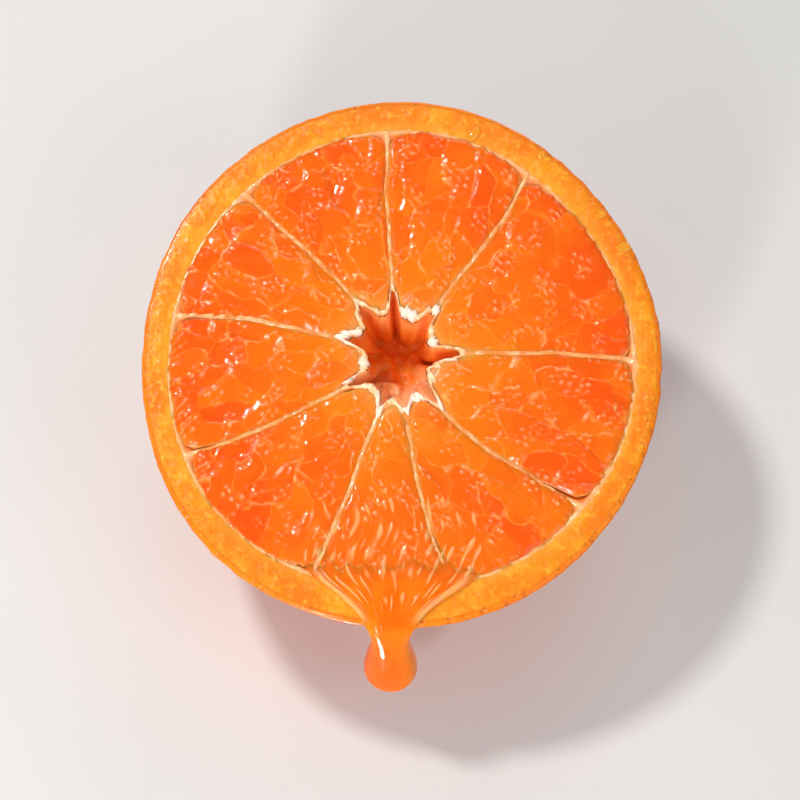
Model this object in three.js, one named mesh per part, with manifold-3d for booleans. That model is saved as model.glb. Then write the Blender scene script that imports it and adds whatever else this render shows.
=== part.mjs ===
// Half a mandarin orange, cut across its segments, with the juice that runs over its rim.
// Millimetres, +Z up. The origin is the middle of the small flat spot that the half rests on,
// and the fruit's own axis stands on it. The knife went through a little aslant, so the cut
// face is lower at the front, which is -Y, and the juice gathers and hangs there.
import * as THREE from "three";
import { mergeVertices } from "three/addons/utils/BufferGeometryUtils.js";
import Module from "manifold-3d";

// The whole fruit: a flattened ball, a little squarer than an ellipsoid
const EQUATOR_RADIUS = 31;
const HALF_HEIGHT = 26;
const SQUARENESS = 0.94;
const FLAT_SPOT_DEPTH = 0.7;
const CUT_SLANT = THREE.MathUtils.degToRad(12);
const CUT_HEIGHT = HALF_HEIGHT - FLAT_SPOT_DEPTH;

// The rind's cut edge
const RIND = { thickness: 3.7, thickerAtEnds: 0.45, edgeRound: 0.55, crown: 0.16, seam: 0.28 };

// The segments: where each wall between two of them meets the hollow core and the rind, as
// angles in degrees, how far the core's star reaches along it, and how far the next
// segment's tip stays from the middle.
const WALLS = [
  { inner: 3, outer: -1, reach: 6.7, nextTip: 3.6 },
  { inner: 52.8, outer: 55.5, reach: 6.4, nextTip: 4.35 },
  { inner: 96, outer: 93, reach: 7.8, nextTip: 5.2 },
  { inner: 128, outer: 133.2, reach: 7.5, nextTip: 5.1 },
  { inner: 162.5, outer: 169.7, reach: 6.7, nextTip: 3.6 },
  { inner: 210.8, outer: 205, reach: 6.9, nextTip: 4.4 },
  { inner: 250, outer: 248.4, reach: 5.9, nextTip: 5.0 },
  { inner: 275, outer: 282.6, reach: 5.9, nextTip: 4.5 },
  { inner: 307.4, outer: 320.3, reach: 6.2, nextTip: 3.6 },
];
const COLUMN_ANGLE = 3.1;
const FLESH = { dome: 0.4, wall: 0.3, groove: 0.25, sac: 0.2, sacLength: 3.6, sacWidth: 3, corner: 1.3 };
const CORE = { lip: 0.4, lipWidth: 0.7, fray: 0.18 };
// The hollow core narrows in steps: how deep, and how wide beside its mouth
const CORE_STEPS = [
  { depth: 2.2, share: 0.97 },
  { depth: 5.2, share: 0.9 },
  { depth: 8, share: 0.7 },
  { depth: 9.9, share: 0.35 },
];
const CORE_DEPTH = 10.6;

const OUTSIDE_RINGS = 11;
const FLESH_RINGS = 17;

// The juice. A film lies on the cut face and narrows to the rim, and a drop hangs under the
// rim. Each is a string of ellipses, the film's from the rim inward and the drop's from its
// lowest point up, with half their width and half their thickness.
const CLEARANCE = 0.3;
const JUICE_ANGLE = -92;
const ELLIPSE_STEPS = 24;
const FILM_ENDS = [-1.1, 9];
const FILM = [
  { inward: -0.7, width: 1.9, thickness: 0.5 },
  { inward: 0.6, width: 3.7, thickness: 0.95 },
  { inward: 2.2, width: 5.4, thickness: 1.1 },
  { inward: 4, width: 7.4, thickness: 1.2 },
  { inward: 5.8, width: 9.1, thickness: 1.3 },
  { inward: 7.2, width: 8.3, thickness: 1.2 },
  { inward: 8.3, width: 5.4, thickness: 1 },
];
const DROP_ENDS = [14, -0.95];
const DROP = [
  { down: 13.75, out: 0.4, width: 0.95, thickness: 0.95 },
  { down: 13.2, out: 0.4, width: 1.85, thickness: 1.85 },
  { down: 12.3, out: 0.4, width: 2.65, thickness: 2.62 },
  { down: 11, out: 0.4, width: 3.1, thickness: 3.05 },
  { down: 9.3, out: 0.38, width: 2.95, thickness: 2.85 },
  { down: 7.4, out: 0.34, width: 2.5, thickness: 2.4 },
  { down: 5.4, out: 0.28, width: 2.25, thickness: 2.1 },
  { down: 3.4, out: 0.2, width: 2.2, thickness: 2 },
  { down: 1.8, out: 0.1, width: 2.4, thickness: 1.95 },
  { down: 0.6, out: -0.1, width: 2.8, thickness: 2 },
  { down: -0.2, out: -0.35, width: 2.8, thickness: 1.75 },
  { down: -0.7, out: -0.5, width: 1.8, thickness: 1.05 },
];

const radians = THREE.MathUtils.degToRad;
const lerp = THREE.MathUtils.lerp;

// The equator's outline, seen from above: nearly round, a little longer from front to back.
function equatorRadius(angle) {
  return EQUATOR_RADIUS * (1 - 0.03 * Math.cos(2 * angle) + 0.006 * Math.cos(3 * angle + 0.8)
    + 0.004 * Math.cos(5 * angle - 0.5));
}

// Latitude at which the skin meets the slanted cut, at an angle round the fruit's axis.
function cutLatitude(angle) {
  const rise = (Math.sin(angle) * Math.tan(CUT_SLANT) * equatorRadius(angle)) / HALF_HEIGHT;
  return Math.atan(Math.sign(rise) * Math.abs(rise) ** (1 / SQUARENESS));
}

// A point of the skin at a latitude. The lowest latitude is the flat spot's edge.
const FLAT_SPOT_LATITUDE = -Math.asin((CUT_HEIGHT / HALF_HEIGHT) ** (1 / SQUARENESS));

function skinPoint(angle, latitude, grow) {
  const radius = equatorRadius(angle) * Math.cos(latitude) ** SQUARENESS + grow;
  const rise = HALF_HEIGHT * Math.sign(latitude) * Math.abs(Math.sin(latitude)) ** SQUARENESS;
  return [radius * Math.cos(angle), radius * Math.sin(angle), CUT_HEIGHT + rise];
}

// Height of the slanted cut over a place, and a point that stands proud of it or below it.
function cutZ(y) {
  return CUT_HEIGHT + y * Math.tan(CUT_SLANT);
}

function facePoint(angle, radius, proud) {
  const x = radius * Math.cos(angle);
  const y = radius * Math.sin(angle);
  return [x, y, cutZ(y) + proud];
}

function rimRadius(angle) {
  return equatorRadius(angle) * Math.cos(cutLatitude(angle)) ** SQUARENESS;
}

function rindThickness(angle) {
  return RIND.thickness - RIND.thickerAtEnds * Math.cos(2 * angle) + 0.15 * Math.sin(3 * angle);
}

// Every column of the mesh: its segment, and its share of the way across it.
function faceColumns() {
  const columns = [];
  WALLS.forEach((wall, segment) => {
    const next = WALLS[(segment + 1) % WALLS.length];
    const turn = segment + 1 < WALLS.length ? 0 : 360;
    const steps = Math.round((next.outer + turn - wall.outer) / COLUMN_ANGLE);
    for (let step = 0; step < steps; step++) {
      const across = step / steps;
      const middle = 1 - Math.abs(2 * across - 1);
      columns.push({
        segment,
        across,
        step,
        steps,
        middle,
        innerAngle: radians(lerp(wall.inner, next.inner + turn, across)),
        outerAngle: radians(lerp(wall.outer, next.outer + turn, across)),
        tip: wall.nextTip,
        reach: lerp(wall.reach, next.reach, across),
      });
    }
  });
  return columns;
}

// The star's edge: far out along the walls, close in at the segments' tips.
function starRadius(column) {
  const frayed = CORE.fray * Math.sin(9 * column.across + 2.1 * column.segment);
  return lerp(column.reach, column.tip, 1 - (1 - column.middle) ** 1.7) + frayed * column.middle;
}

function fleshEdge(column) {
  const corner = Math.max(0, 1 - column.middle / 0.45) ** 1.4;
  return rimRadius(column.outerAngle) - rindThickness(column.outerAngle) - FLESH.corner * corner;
}

// How proud the flesh stands: a low pillow for each segment with juice sacs in staggered rows
// on it, a ridge for each wall and a groove on both sides of the ridge.
function fleshProud(column, outward, radius, length) {
  if (column.step === 0) return FLESH.wall;
  if (column.step === 1 || column.step === column.steps - 1) return -FLESH.groove * 0.6;
  const ends = Math.min(1, outward * 5, (1 - outward) * 6);
  const pillow = FLESH.dome * Math.sqrt(column.middle) * ends;
  const row = (outward * length) / FLESH.sacLength + 0.37 * column.segment;
  const width = radius * Math.abs(column.outerAngle - column.innerAngle + 0.6);
  const file = (column.across * width) / FLESH.sacWidth + 0.5 * Math.floor(row);
  const sac = Math.abs(Math.sin(Math.PI * row) * Math.sin(Math.PI * file));
  return pillow + FLESH.sac * (2 * sac - 1) * ends;
}

// All rings of the half's surface, from the flat spot up the outside, over the rind's cut
// edge, in over the segments, over the core's pale lip and down into the hollow core.
function halfRings(columns, grow) {
  const rings = [];
  const ring = (make) => rings.push(columns.map(make));
  for (let i = 0; i < OUTSIDE_RINGS; i++) {
    const share = i / (OUTSIDE_RINGS - 0.55);
    ring((c) => skinPoint(c.outerAngle, lerp(FLAT_SPOT_LATITUDE, cutLatitude(c.outerAngle), share), grow));
  }
  ring((c) => facePoint(c.outerAngle, rimRadius(c.outerAngle) + 0.02 + grow, -RIND.edgeRound + grow));
  ring((c) => facePoint(c.outerAngle, rimRadius(c.outerAngle) - RIND.edgeRound + grow, grow));
  ring((c) => {
    const middle = rimRadius(c.outerAngle) - rindThickness(c.outerAngle) * 0.55;
    return facePoint(c.outerAngle, middle, RIND.crown + grow);
  });
  ring((c) => facePoint(c.outerAngle, fleshEdge(c) + 0.15, grow - RIND.seam * Math.min(1, 4 * c.middle)));
  for (let i = 0; i < FLESH_RINGS; i++) {
    const inward = (i + 0.7) / FLESH_RINGS;
    ring((c) => {
      const start = fleshEdge(c);
      const end = starRadius(c) + CORE.lipWidth + 0.3;
      const radius = lerp(start, end, inward);
      const angle = lerp(c.outerAngle, c.innerAngle, inward);
      return facePoint(angle, radius, fleshProud(c, 1 - inward, radius, start - end) + grow);
    });
  }
  ring((c) => facePoint(c.innerAngle, starRadius(c) + CORE.lipWidth, CORE.lip * 0.6 + grow));
  ring((c) => facePoint(c.innerAngle, starRadius(c) + 0.2, CORE.lip + grow));
  ring((c) => facePoint(c.innerAngle, starRadius(c), CORE.lip - 0.35 + grow));
  CORE_STEPS.forEach(({ depth, share }) => {
    ring((c) => {
      const radius = starRadius(c) * share;
      return [radius * Math.cos(c.innerAngle), radius * Math.sin(c.innerAngle), CUT_HEIGHT - depth];
    });
  });
  return rings;
}

// One closed surface from rings of equal length, with a point that closes each end.
function loft(rings, firstPoint, lastPoint) {
  const count = rings[0].length;
  const index = [];
  const at = (ring, column) => 1 + ring * count + (column % count);
  const last = 1 + rings.length * count;
  for (let column = 0; column < count; column++) {
    index.push(0, at(0, column + 1), at(0, column));
    for (let ring = 0; ring + 1 < rings.length; ring++) {
      index.push(at(ring, column), at(ring, column + 1), at(ring + 1, column + 1));
      index.push(at(ring, column), at(ring + 1, column + 1), at(ring + 1, column));
    }
    index.push(last, at(rings.length - 1, column), at(rings.length - 1, column + 1));
  }
  const points = [firstPoint, ...rings.flat(), lastPoint].flat();
  const geometry = new THREE.BufferGeometry();
  geometry.setAttribute("position", new THREE.Float32BufferAttribute(points, 3));
  geometry.setIndex(index);
  return geometry;
}

function halfGeometry(grow) {
  const rings = halfRings(faceColumns(), grow);
  return loft(rings, [0, 0, 0], [0, 0, CUT_HEIGHT - CORE_DEPTH]);
}

const wasm = await Module();
wasm.setup();

function solidOf(geometry) {
  const bare = geometry.clone();
  bare.deleteAttribute("normal");
  bare.deleteAttribute("uv");
  const merged = mergeVertices(bare, 1e-4);
  return new wasm.Manifold(new wasm.Mesh({
    numProp: 3,
    vertProperties: merged.attributes.position.array,
    triVerts: new Uint32Array(merged.index.array),
  }));
}

function geometryOf(solid) {
  const mesh = solid.getMesh();
  const geometry = new THREE.BufferGeometry();
  geometry.setAttribute("position", new THREE.BufferAttribute(mesh.vertProperties, 3));
  geometry.setIndex(new THREE.BufferAttribute(mesh.triVerts, 1));
  return geometry;
}

// Places by the juice: out from the rim, sideways, and up from the cut face at the rim.
function juicePoint(out, sideways, up) {
  const angle = radians(JUICE_ANGLE);
  const radius = rimRadius(angle) + out;
  const x = radius * Math.cos(angle) - sideways * Math.sin(angle);
  const y = radius * Math.sin(angle) + sideways * Math.cos(angle);
  return [x, y, cutZ(rimRadius(angle) * Math.sin(angle)) + up];
}

function ellipseRings(stations, pointOf) {
  return stations.map((station) => {
    const turns = Array.from({ length: ELLIPSE_STEPS }, (_, i) => (2 * Math.PI * i) / ELLIPSE_STEPS);
    return turns.map((turn) => pointOf(station, Math.cos(turn), Math.sin(turn)));
  });
}

// The film's ellipses stand across its way in from the rim, and rise with the slanted face.
function filmPoint(inward, sideways, proud) {
  const place = juicePoint(-inward, sideways, 0);
  return [place[0], place[1], cutZ(place[1]) + proud];
}

function filmGeometry() {
  const rings = ellipseRings(FILM, ({ inward, width, thickness }, along, across) =>
    filmPoint(inward, width * across, thickness * along));
  return loft(rings, filmPoint(FILM_ENDS[0], 0, 0), filmPoint(FILM_ENDS[1], 0, 0));
}

// The drop's ellipses are level: a neck that clings to the skin under the rim, then a bulb.
function dropGeometry() {
  const rings = ellipseRings(DROP, ({ down, out, width, thickness }, along, across) =>
    juicePoint(out + thickness * along, width * across, -down));
  return loft(rings, juicePoint(0.4, 0, -DROP_ENDS[0]), juicePoint(-0.5, 0, -DROP_ENDS[1]));
}

// The juice is the film and the drop, less the fruit and a small clearance round it. The
// largest piece is kept, because the uneven flesh can part crumbs from the film's thin edge.
function juiceGeometry() {
  const poured = solidOf(dropGeometry()).add(solidOf(filmGeometry()));
  const pieces = poured.subtract(solidOf(halfGeometry(CLEARANCE))).decompose();
  pieces.sort((a, b) => b.volume() - a.volume());
  return geometryOf(pieces[0]);
}

function namedMesh(name, geometry, material) {
  const mesh = new THREE.Mesh(geometry, new THREE.MeshStandardMaterial(material));
  mesh.name = name;
  return mesh;
}

const mandarin = new THREE.Group();
mandarin.add(
  namedMesh("mandarin_half", halfGeometry(0), { color: 0xf47a12, roughness: 0.35, metalness: 0 }),
  namedMesh("juice_drop", juiceGeometry(), { color: 0xfb8a14, roughness: 0.08, metalness: 0 }),
);

export default mandarin;
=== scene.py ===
import bpy
import numpy as np
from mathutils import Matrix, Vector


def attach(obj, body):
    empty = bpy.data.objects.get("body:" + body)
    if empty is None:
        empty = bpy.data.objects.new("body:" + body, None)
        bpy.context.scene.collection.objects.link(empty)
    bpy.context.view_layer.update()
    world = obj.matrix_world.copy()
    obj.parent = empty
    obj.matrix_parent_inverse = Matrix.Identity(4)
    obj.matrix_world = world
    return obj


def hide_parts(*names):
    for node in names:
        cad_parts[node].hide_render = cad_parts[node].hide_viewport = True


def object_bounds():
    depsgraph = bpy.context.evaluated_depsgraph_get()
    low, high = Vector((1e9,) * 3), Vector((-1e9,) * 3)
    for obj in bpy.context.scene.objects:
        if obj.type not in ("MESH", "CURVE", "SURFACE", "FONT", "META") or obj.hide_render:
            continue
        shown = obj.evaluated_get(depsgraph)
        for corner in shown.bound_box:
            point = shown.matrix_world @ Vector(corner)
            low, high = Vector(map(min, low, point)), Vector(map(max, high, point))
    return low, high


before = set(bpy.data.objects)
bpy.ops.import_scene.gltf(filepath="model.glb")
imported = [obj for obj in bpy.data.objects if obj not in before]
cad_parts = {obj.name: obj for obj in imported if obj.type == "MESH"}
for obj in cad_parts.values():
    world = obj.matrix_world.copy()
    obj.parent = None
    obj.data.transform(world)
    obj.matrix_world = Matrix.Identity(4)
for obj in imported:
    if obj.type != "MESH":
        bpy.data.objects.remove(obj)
sourceBox = np.array([list(corner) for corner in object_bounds()])
print("source solids loaded")

scene = bpy.context.scene
mm = 0.001
fullTurn = 2 * np.pi


# the fruit's form in millimetres: the same outline, cut and walls as the solids
fruit = {
    "equatorRadius": 31.0,
    "halfHeight": 26.0,
    "squareness": 0.94,
    "flatSpotDepth": 0.7,
    "cutSlant": np.radians(12),
    "rindThickness": 3.7,
}
cutHeight = fruit["halfHeight"] - fruit["flatSpotDepth"]

# for each wall between segments: its angle at the core and at the rind, how far the core's
# star reaches along it, how near the middle the next segment's tip comes, how wide the
# star's bay is there, and how far the wall wanders from a straight line (radians)
wallTable = np.array(
    [
        [3, -1, 6.9, 3.6, 0.8, 0.006],
        [52.8, 55.5, 6.3, 4.35, 0.7, -0.022],
        [96, 93, 7.8, 5.0, 0.42, 0.008],
        [128, 133.2, 7.4, 5.1, 0.8, 0.012],
        [162.5, 169.7, 6.5, 3.6, 0.55, -0.014],
        [210.8, 205, 6.8, 4.4, 0.6, 0.012],
        [250, 248.4, 5.9, 4.9, 0.55, 0.01],
        [275, 282.6, 5.9, 4.5, 0.6, -0.012],
        [307.4, 320.3, 6.6, 3.6, 0.7, 0.014],
    ]
)
wallCount = len(wallTable)


# the equator's radius: a circle with small waves of 2, 3 and 5 turns
def equatorRadius(angle):
    waves = -0.03 * np.cos(2 * angle) + 0.006 * np.cos(3 * angle + 0.8)
    return fruit["equatorRadius"] * (1 + waves + 0.004 * np.cos(5 * angle - 0.5))


# the latitude where the skin meets the slanted cut: the height of the cut over the equator,
# as a share of the half height, put through the superellipse backwards
def cutLatitude(angle):
    rise = np.sin(angle) * np.tan(fruit["cutSlant"]) * equatorRadius(angle)
    share = rise / fruit["halfHeight"]
    return np.arctan(np.sign(share) * np.abs(share) ** (1 / fruit["squareness"]))


# the skin: radius and height are the cosine and sine of the latitude to a power just under
# one, which makes a ball that is a little square
def skinPoint(angle, latitude):
    power = fruit["squareness"]
    radius = equatorRadius(angle) * np.cos(latitude) ** power
    rise = fruit["halfHeight"] * np.sign(latitude) * np.abs(np.sin(latitude)) ** power
    return radius, cutHeight + rise


# the rim: the skin's radius at the latitude of the cut
def rimRadius(angle):
    return skinPoint(angle, cutLatitude(angle))[0]


# the cut rind's width: its mean with small waves of 2 and 3 turns
def rindThickness(angle):
    return fruit["rindThickness"] - 0.45 * np.cos(2 * angle) + 0.15 * np.sin(3 * angle)


# the slanted cut: the height grows with y by the tangent of the slant
def cutZ(y):
    return cutHeight + y * np.tan(fruit["cutSlant"])


# a level place from an angle and a radius, with its height where it has one
def polar(angle, radius, *height):
    return np.stack([radius * np.cos(angle), radius * np.sin(angle), *height], axis=-1)


# a place on the cut face from an angle and a radius, and how proud of the cut it stands
def facePoint(angle, radius, proud):
    x = radius * np.cos(angle)
    y = radius * np.sin(angle)
    return np.stack([x, y, cutZ(y) + proud], axis=-1)


# smooth noise: the sum of sine waves with random directions, phases and lengths near size,
# scaled so that it mostly stays within one either way
def ripple(points, size, seed, count=20):
    rng = np.random.default_rng(seed)
    direction = rng.normal(size=(count, points.shape[-1]))
    direction /= np.linalg.norm(direction, axis=1, keepdims=True)
    length = size * rng.uniform(0.65, 1.5, count)
    phase = rng.uniform(0, fullTurn, count)
    waves = np.sin(points @ (direction / length[:, None]).T * fullTurn + phase)
    return waves.sum(-1) * 0.6 / np.sqrt(count / 2)


# from zero at low to one at high by the cubic 3tt - 2ttt; low may be the larger of the two
def smoothStep(low, high, value):
    t = np.clip((value - low) / (high - low), 0, 1)
    return t * t * (3 - 2 * t)


# the straight mix of two numbers
def lerp(a, b, t):
    return a + (b - a) * t


# the quads of a grid of rows by columns, its last column joined to the first where it is
# round; they face to the right-hand side of rows turned towards columns
def gridQuads(rows, columns, closed=False, start=0):
    across = np.arange(columns if closed else columns - 1)
    along = np.arange(rows - 1)[:, None]
    here = along * columns + across
    side = along * columns + (across + 1) % columns
    quads = np.stack([here, side, side + columns, here + columns], axis=-1)
    return quads.reshape(-1, 4) + start


# triangles from one point to a round row, which closes a pole
def poleFan(pole, firstInRow, columns, flip=False):
    here = np.arange(columns)
    side = (here + 1) % columns
    ends = (side, here) if flip else (here, side)
    fan = [np.full(columns, pole), firstInRow + ends[0], firstInRow + ends[1]]
    return np.stack(fan, axis=-1)


# a smooth mesh object: points in millimetres, faces as index arrays, numbers per point
def addMesh(name, points, faceSets, numbers, material):
    mesh = bpy.data.meshes.new(name)
    faces = [face for faceSet in faceSets for face in np.asarray(faceSet).tolist()]
    mesh.from_pydata((points.reshape(-1, 3) * mm).tolist(), [], faces)
    for key, values in numbers.items():
        layer = mesh.attributes.new(key, "FLOAT", "POINT")
        layer.data.foreach_set("value", np.ascontiguousarray(values, dtype=np.float32).ravel())
    mesh.shade_smooth()
    mesh.materials.append(material)
    mesh.validate()
    thing = bpy.data.objects.new(name, mesh)
    scene.collection.objects.link(thing)
    return thing


# one piece of the fruit: such a mesh that rides on the root and has a material slot
def addPiece(name, points, faceSets, numbers, material):
    piece = addMesh(name, points, faceSets, numbers, material)
    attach(piece, "root")
    return piece


# a node tree with a few short words: each call adds a node and returns its output
class Surface:
    def __init__(self, name):
        self.material = bpy.data.materials.new(name)
        self.material.use_nodes = True
        self.tree = self.material.node_tree
        self.shader = self.tree.nodes["Principled BSDF"]
        self.place = self.add("ShaderNodeTexCoord").outputs["Object"]

    def add(self, kind, **settings):
        node = self.tree.nodes.new(kind)
        for key, value in settings.items():
            setattr(node, key, value)
        return node

    def feed(self, socket, value):
        if isinstance(value, bpy.types.NodeSocket):
            self.tree.links.new(value, socket)
        else:
            socket.default_value = value

    def number(self, key):
        return self.add("ShaderNodeAttribute", attribute_name=key).outputs["Fac"]

    def texture(self, kind, output, size, **values):
        node = self.add(kind)
        for key, value in {"Vector": self.place, "Scale": 1 / (size * mm), **values}.items():
            self.feed(node.inputs[key], value)
        return node.outputs[output]

    def noise(self, size, detail=3, roughness=0.5, distortion=0):
        values = {"Detail": detail, "Roughness": roughness, "Distortion": distortion}
        return self.texture("ShaderNodeTexNoise", "Fac", size, **values)

    def cells(self, size, randomness=1.0):
        return self.texture("ShaderNodeTexVoronoi", "Distance", size, Randomness=randomness)

    def math(self, operation, a, b):
        node = self.add("ShaderNodeMath", operation=operation)
        self.feed(node.inputs[0], a)
        self.feed(node.inputs[1], b)
        return node.outputs[0]

    def times(self, a, b):
        return self.math("MULTIPLY", a, b)

    def ramp(self, value, low, high, toLow=0.0, toHigh=1.0):
        node = self.add("ShaderNodeMapRange", interpolation_type="SMOOTHSTEP")
        limits = (low, high, toLow, toHigh)
        for socket, number in zip(node.inputs, (value, *limits)):
            self.feed(socket, number)
        return node.outputs["Result"]

    def mix(self, share, a, b):
        node = self.add("ShaderNodeMix", data_type="RGBA")
        colours = [socket for socket in node.inputs if socket.type == "RGBA"]
        self.feed(node.inputs[0], share)
        for socket, value in zip(colours, (a, b)):
            self.feed(socket, value if isinstance(value, bpy.types.NodeSocket) else (*value, 1))
        return [socket for socket in node.outputs if socket.type == "RGBA"][0]

    def bump(self, height, depth, normal=None):
        node = self.add("ShaderNodeBump")
        self.feed(node.inputs["Height"], height)
        node.inputs["Distance"].default_value = depth * mm
        if normal:
            self.feed(node.inputs["Normal"], normal)
        return node.outputs["Normal"]

    def finish(self, colour, roughness, normal=None, **settings):
        self.feed(self.shader.inputs["Base Color"], colour)
        self.feed(self.shader.inputs["Roughness"], roughness)
        if normal:
            self.feed(self.shader.inputs["Normal"], normal)
        for key, value in settings.items():
            self.shader.inputs[key.replace("_", " ")].default_value = value
        return self.material


# two pale tones: the real colour of thin wet skins, torn threads and linings, and also a painted
# highlight on the flow streaks and the juice's side ridges
paleThreadAndStreakHighlight = (1.0, 0.46, 0.17)
paleLiningAndRidgeHighlight = (1.0, 0.52, 0.22)

# the flesh: nine segments of juice sacs
flesh = {
    "columns": 132,
    "rows": 156,
    "wallGap": 0.09,  # half of the gap between two segments, where the wall stands
    "coreGap": 0.85,  # from the star's edge out to the flesh
    "cornerRound": 1.5,
    "dome": 0.32,
    "domeWidth": 1.6,
    "edgeDrop": 0.12,
    "edgeWidth": 0.2,
    "depth": 1.3,
    "sacLength": 5.0,
    "sacWidth": 2.8,
    "sacHeight": 0.16,
    "pillowWidth": 0.75,  # from a sac's border in to its full height
    "borderWidth": 0.11,
    "plumpUpTo": 0.62,  # shares of the sacs: plump, then slack, and the rest torn open
    "slackUpTo": 0.86,
    "liftHeight": 0.07,  # how much higher or lower single sacs stand
    "shredHeight": 0.13,
    "pebbleHeight": 0.13,
    "foldHeight": 0.07,
    "streakHeight": 0.1,
}


# one wall's angle from the rind (inward 0) to the core (inward 1): a straight change plus a
# slow bend and a quick one, both zero at the ends
def wallAngle(number, inward):
    wall = wallTable[number % wallCount]
    angle = np.radians(lerp(wall[1], wall[0], inward) + 360 * (number // wallCount))
    bend = wall[5] * np.sin(1.5 * np.pi * inward) + 0.004 * np.sin(16 * inward + number % wallCount)
    return angle + bend * np.sin(np.pi * inward) ** 0.7


# the star's edge in one segment: a rounded bay out along each wall, by a bell curve of the
# distance from it, and a low tip between the bays
def starRadius(index, across):
    wall, after = wallTable[index % wallCount], wallTable[(index + 1) % wallCount]
    width = 6 * (wallAngle(index + 1, 1.0) - wallAngle(index, 1.0))
    reach = lerp(wall[2], after[2], across)
    tip = lerp(reach, wall[3], 0.7 + 0.3 * np.sin(np.pi * across) ** 0.8)
    leftBay = np.exp(-((across * width / wall[4]) ** 2))
    rightBay = np.exp(-(((1 - across) * width / after[4]) ** 2))
    return lerp(tip, reach, np.maximum(leftBay, rightBay))


# where the flesh ends at the rind: a little ragged, and rounded off into both walls
def fleshEdge(angle, across):
    corner = np.abs(2 * across - 1) ** 7
    ring = polar(angle, 27)
    ragged = 0.12 * ripple(ring, 2.4, 21) + 0.09 * ripple(ring, 0.9, 22) + 0.05
    return rimRadius(angle) - rindThickness(angle) - flesh["cornerRound"] * corner + ragged


# the sacs: a Voronoi pattern of long cells on staggered, jittered rows. It gives for each
# point how far the nearest border is, which cell it is in and how far from its middle.
def sacPattern(along, sideways, seed):
    rng = np.random.default_rng(seed)
    length, width = flesh["sacLength"], flesh["sacWidth"]
    rows = np.arange(along.min() - length, along.max() + length, length * 0.86)
    files = np.arange(sideways.min() - width, sideways.max() + width, width)
    seedAlong, seedSide = np.meshgrid(rows, files, indexing="ij")
    seedSide = seedSide + 0.5 * width * (np.arange(len(rows))[:, None] % 2)
    seedAlong = (seedAlong + rng.uniform(-0.5, 0.5, seedAlong.shape) * length).ravel()
    seedSide = (seedSide + rng.uniform(-0.42, 0.42, seedSide.shape) * width).ravel()
    stretch = rng.uniform(1.3, 2.1, len(seedAlong))
    weight = rng.uniform(0, 0.45, len(seedAlong))
    fromAlong = along.reshape(-1, 1) - seedAlong
    fromSide = sideways.reshape(-1, 1) - seedSide
    away = np.sqrt((fromAlong / stretch) ** 2 + fromSide**2) - weight
    order = np.argsort(away, axis=1)[:, :2]
    nearest = order[:, 0]
    pick = np.arange(len(nearest))
    border = (away[pick, order[:, 1]] - away[pick, nearest]) * 0.5
    shape = along.shape
    return {
        "border": border.reshape(shape),
        "cell": nearest.reshape(shape),
        "fromAlong": fromAlong[pick, nearest].reshape(shape),
        "fromSide": fromSide[pick, nearest].reshape(shape),
        "count": len(seedAlong),
    }


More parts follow.
